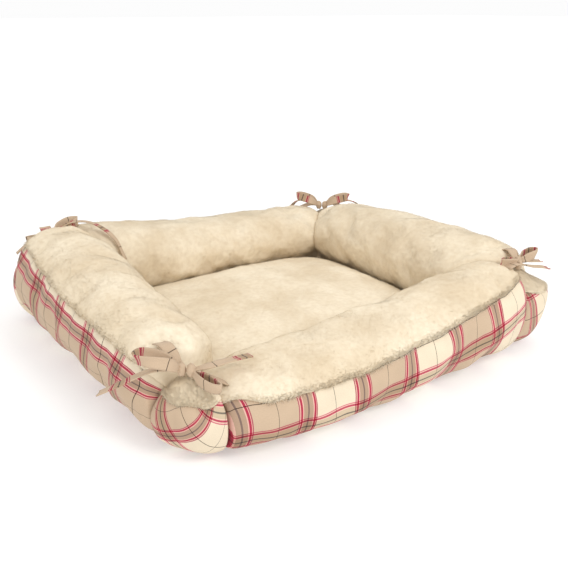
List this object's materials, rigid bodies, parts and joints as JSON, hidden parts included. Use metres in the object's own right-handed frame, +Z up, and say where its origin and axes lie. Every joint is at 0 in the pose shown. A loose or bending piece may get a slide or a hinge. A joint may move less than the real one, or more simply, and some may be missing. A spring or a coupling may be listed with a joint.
{
  "type": "pet cushion bed",
  "caption": "Rectangular pet bed: stuffed pad with four fold-up bolster walls, plush inside and plaid cotton outside, closed by ribbon bows over corner pouches.",
  "frame": {"origin": "on the floor, at the middle of the flat base panel", "axes": "+Z up; +X along the longer side; the low-fronted long wall faces -Y"},
  "size_m": [0.6318, 0.5695, 0.1469],
  "materials": {
    "plaid_cotton": "woven cotton, cream and tan plaid with crimson and grey lines",
    "cream_plush": "short soft pile",
    "fibre_filling": "matte loose polyester fibre",
    "ribbon": "folded and stitched plaid cotton strip"
  },
  "bodies": {
    "base": {"plaid_base_panel": "plaid_cotton", "pad_filling": "fibre_filling", "plush_floor_panel": "cream_plush", "corner_front_left_plaid": "plaid_cotton", "corner_front_left_plush": "cream_plush", "corner_front_left_filling": "fibre_filling", "corner_front_right_plaid": "plaid_cotton", "corner_front_right_plush": "cream_plush", "corner_front_right_filling": "fibre_filling", "corner_back_right_plaid": "plaid_cotton", "corner_back_right_plush": "cream_plush", "corner_back_right_filling": "fibre_filling", "corner_back_left_plaid": "plaid_cotton", "corner_back_left_plush": "cream_plush", "corner_back_left_filling": "fibre_filling"},
    "front_wall": {"front_wall_plaid": "plaid_cotton", "front_wall_plush": "cream_plush", "front_wall_filling": "fibre_filling", "front_wall_tie_left": "ribbon", "front_wall_tie_right": "ribbon"},
    "right_wall": {"right_wall_plaid": "plaid_cotton", "right_wall_plush": "cream_plush", "right_wall_filling": "fibre_filling", "right_wall_tie_front": "ribbon", "right_wall_tie_back": "ribbon"},
    "back_wall": {"back_wall_plaid": "plaid_cotton", "back_wall_plush": "cream_plush", "back_wall_filling": "fibre_filling", "back_wall_tie_right": "ribbon", "back_wall_tie_left": "ribbon"},
    "left_wall": {"left_wall_plaid": "plaid_cotton", "left_wall_plush": "cream_plush", "left_wall_filling": "fibre_filling", "left_wall_tie_back": "ribbon", "left_wall_tie_front": "ribbon"}
  },
  "joints": [
    {"name": "front_wall_fold", "type": "hinge", "parent": "base", "child": "front_wall", "pos_m": [0, -0.19, 0.008], "axis": [1, 0, 0], "range_deg": [0, 14]},
    {"name": "right_wall_fold", "type": "hinge", "parent": "base", "child": "right_wall", "pos_m": [0.215, 0, 0.008], "axis": [0, 1, 0], "range_deg": [0, 14]},
    {"name": "back_wall_fold", "type": "hinge", "parent": "base", "child": "back_wall", "pos_m": [0, 0.19, 0.008], "axis": [-1, 0, 0], "range_deg": [0, 14]},
    {"name": "left_wall_fold", "type": "hinge", "parent": "base", "child": "left_wall", "pos_m": [-0.215, 0, 0.008], "axis": [0, -1, 0], "range_deg": [0, 14]}
  ]
}
